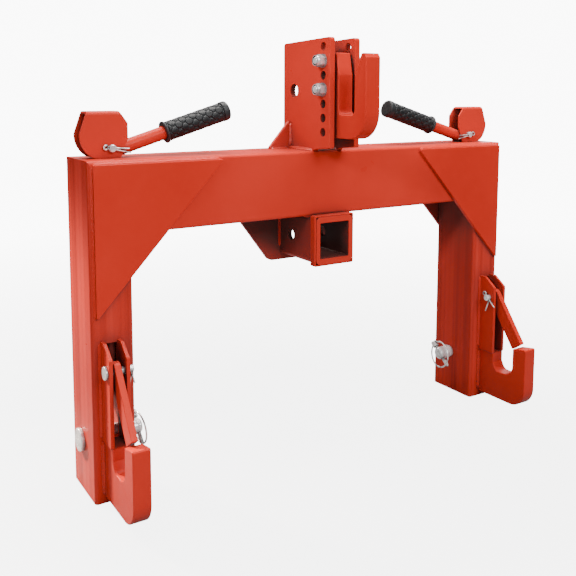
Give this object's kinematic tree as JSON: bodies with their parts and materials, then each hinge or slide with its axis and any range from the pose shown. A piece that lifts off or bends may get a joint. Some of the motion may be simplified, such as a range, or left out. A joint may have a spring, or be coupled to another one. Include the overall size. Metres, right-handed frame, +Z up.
{
  "type": "three point receiver hitch",
  "caption": "Tractor three point quick hitch frame with a square receiver tube, a bolted top hook, lower hooks with lever-worked latches and link pins.",
  "frame": {"origin": "on the ground under the centre of the hitch's bounding box", "axes": "+X across the hitch to the right seen from the hook side, -Y towards the implement, where the hooks are, +Y towards the tractor, +Z up"},
  "size_m": [0.7512, 0.204, 0.6221],
  "materials": {
    "red_paint": "gloss powder coat",
    "zinc_plate": "bright zinc plate",
    "black_rubber": "moulded pattern, satin"
  },
  "bodies": {
    "frame": {"crossbar": "red_paint", "hook_bolts": "zinc_plate", "hook_nuts": "zinc_plate", "hook_spacers": "zinc_plate", "hook_washers": "zinc_plate", "left_front_gusset": "red_paint", "left_inner_ear": "red_paint", "left_latch_pin": "zinc_plate", "left_latch_pin_cotter": "zinc_plate", "left_leg": "red_paint", "left_lower_hook": "red_paint", "left_mast_plate": "red_paint", "left_mast_rib": "red_paint", "left_outer_ear": "red_paint", "left_rear_gusset": "red_paint", "receiver_collar": "red_paint", "receiver_gusset": "red_paint", "receiver_tube": "red_paint", "right_front_gusset": "red_paint", "right_inner_ear": "red_paint", "right_latch_pin": "zinc_plate", "right_latch_pin_cotter": "zinc_plate", "right_leg": "red_paint", "right_lower_hook": "red_paint", "right_mast_plate": "red_paint", "right_mast_rib": "red_paint", "right_outer_ear": "red_paint", "right_rear_gusset": "red_paint", "top_hook": "red_paint"},
    "left_lift_rod": {"left_lift_rod": "red_paint", "left_rod_end_pin": "zinc_plate"},
    "left_lever": {"left_lever_bracket": "red_paint", "left_handle_bar": "red_paint", "left_handle_grip": "black_rubber", "left_lever_pin": "zinc_plate", "left_lever_pin_cotter": "zinc_plate"},
    "left_latch": {"left_latch": "red_paint"},
    "left_link_pin": {"left_link_pin": "zinc_plate", "left_lynch_pin": "zinc_plate"},
    "left_lynch_ring": {"left_lynch_ring": "zinc_plate"},
    "right_lift_rod": {"right_lift_rod": "red_paint", "right_rod_end_pin": "zinc_plate"},
    "right_lever": {"right_lever_bracket": "red_paint", "right_handle_bar": "red_paint", "right_handle_grip": "black_rubber", "right_lever_pin": "zinc_plate", "right_lever_pin_cotter": "zinc_plate"},
    "right_latch": {"right_latch": "red_paint"},
    "right_link_pin": {"right_link_pin": "zinc_plate", "right_lynch_pin": "zinc_plate"},
    "right_lynch_ring": {"right_lynch_ring": "zinc_plate"}
  },
  "joints": [
    {"name": "left_rod_slide", "type": "slide", "parent": "frame", "child": "left_lift_rod", "axis": [0, 0, 1], "range_m": [0, 0.0364]},
    {"name": "left_lever_turn", "type": "hinge", "parent": "left_lift_rod", "child": "left_lever", "pos_m": [-0.326, 0.05, 0.469], "axis": [0, -1, 0], "range_deg": [0, 109.6]},
    {"name": "left_latch_swing", "type": "hinge", "parent": "frame", "child": "left_latch", "pos_m": [-0.3465, -0.018, 0.186], "axis": [1, 0, 0], "range_deg": [0, 48.76]},
    {"name": "left_link_pin_turn", "type": "hinge", "parent": "frame", "child": "left_link_pin", "pos_m": [-0.3415, 0.058, 0.0705], "axis": [1, 0, 0], "continuous": true},
    {"name": "left_lynch_ring_swing", "type": "hinge", "parent": "left_link_pin", "child": "left_lynch_ring", "pos_m": [-0.291, 0.07233, 0.08372], "axis": [0, -0.678, 0.735], "range_deg": [0, 150]},
    {"name": "right_rod_slide", "type": "slide", "parent": "frame", "child": "right_lift_rod", "axis": [0, 0, 1], "range_m": [0, 0.0364]},
    {"name": "right_lever_turn", "type": "hinge", "parent": "right_lift_rod", "child": "right_lever", "pos_m": [0.326, 0.05, 0.469], "axis": [0, 1, 0], "range_deg": [0, 109.6]},
    {"name": "right_latch_swing", "type": "hinge", "parent": "frame", "child": "right_latch", "pos_m": [0.3465, -0.018, 0.186], "axis": [1, 0, 0], "range_deg": [0, 48.76]},
    {"name": "right_link_pin_turn", "type": "hinge", "parent": "frame", "child": "right_link_pin", "pos_m": [0.3415, 0.058, 0.0705], "axis": [1, 0, 0], "continuous": true},
    {"name": "right_lynch_ring_swing", "type": "hinge", "parent": "right_link_pin", "child": "right_lynch_ring", "pos_m": [0.291, 0.07233, 0.08372], "axis": [0, 0.678, -0.735], "range_deg": [0, 150]}
  ],
  "couplings": [
    {"joint": "left_rod_slide", "follows": "left_lever_turn", "m_per_rad": 0.019},
    {"joint": "left_latch_swing", "follows": "left_lever_turn", "ratio": 0.4448},
    {"joint": "right_rod_slide", "follows": "right_lever_turn", "m_per_rad": 0.019},
    {"joint": "right_latch_swing", "follows": "right_lever_turn", "ratio": 0.4448}
  ]
}
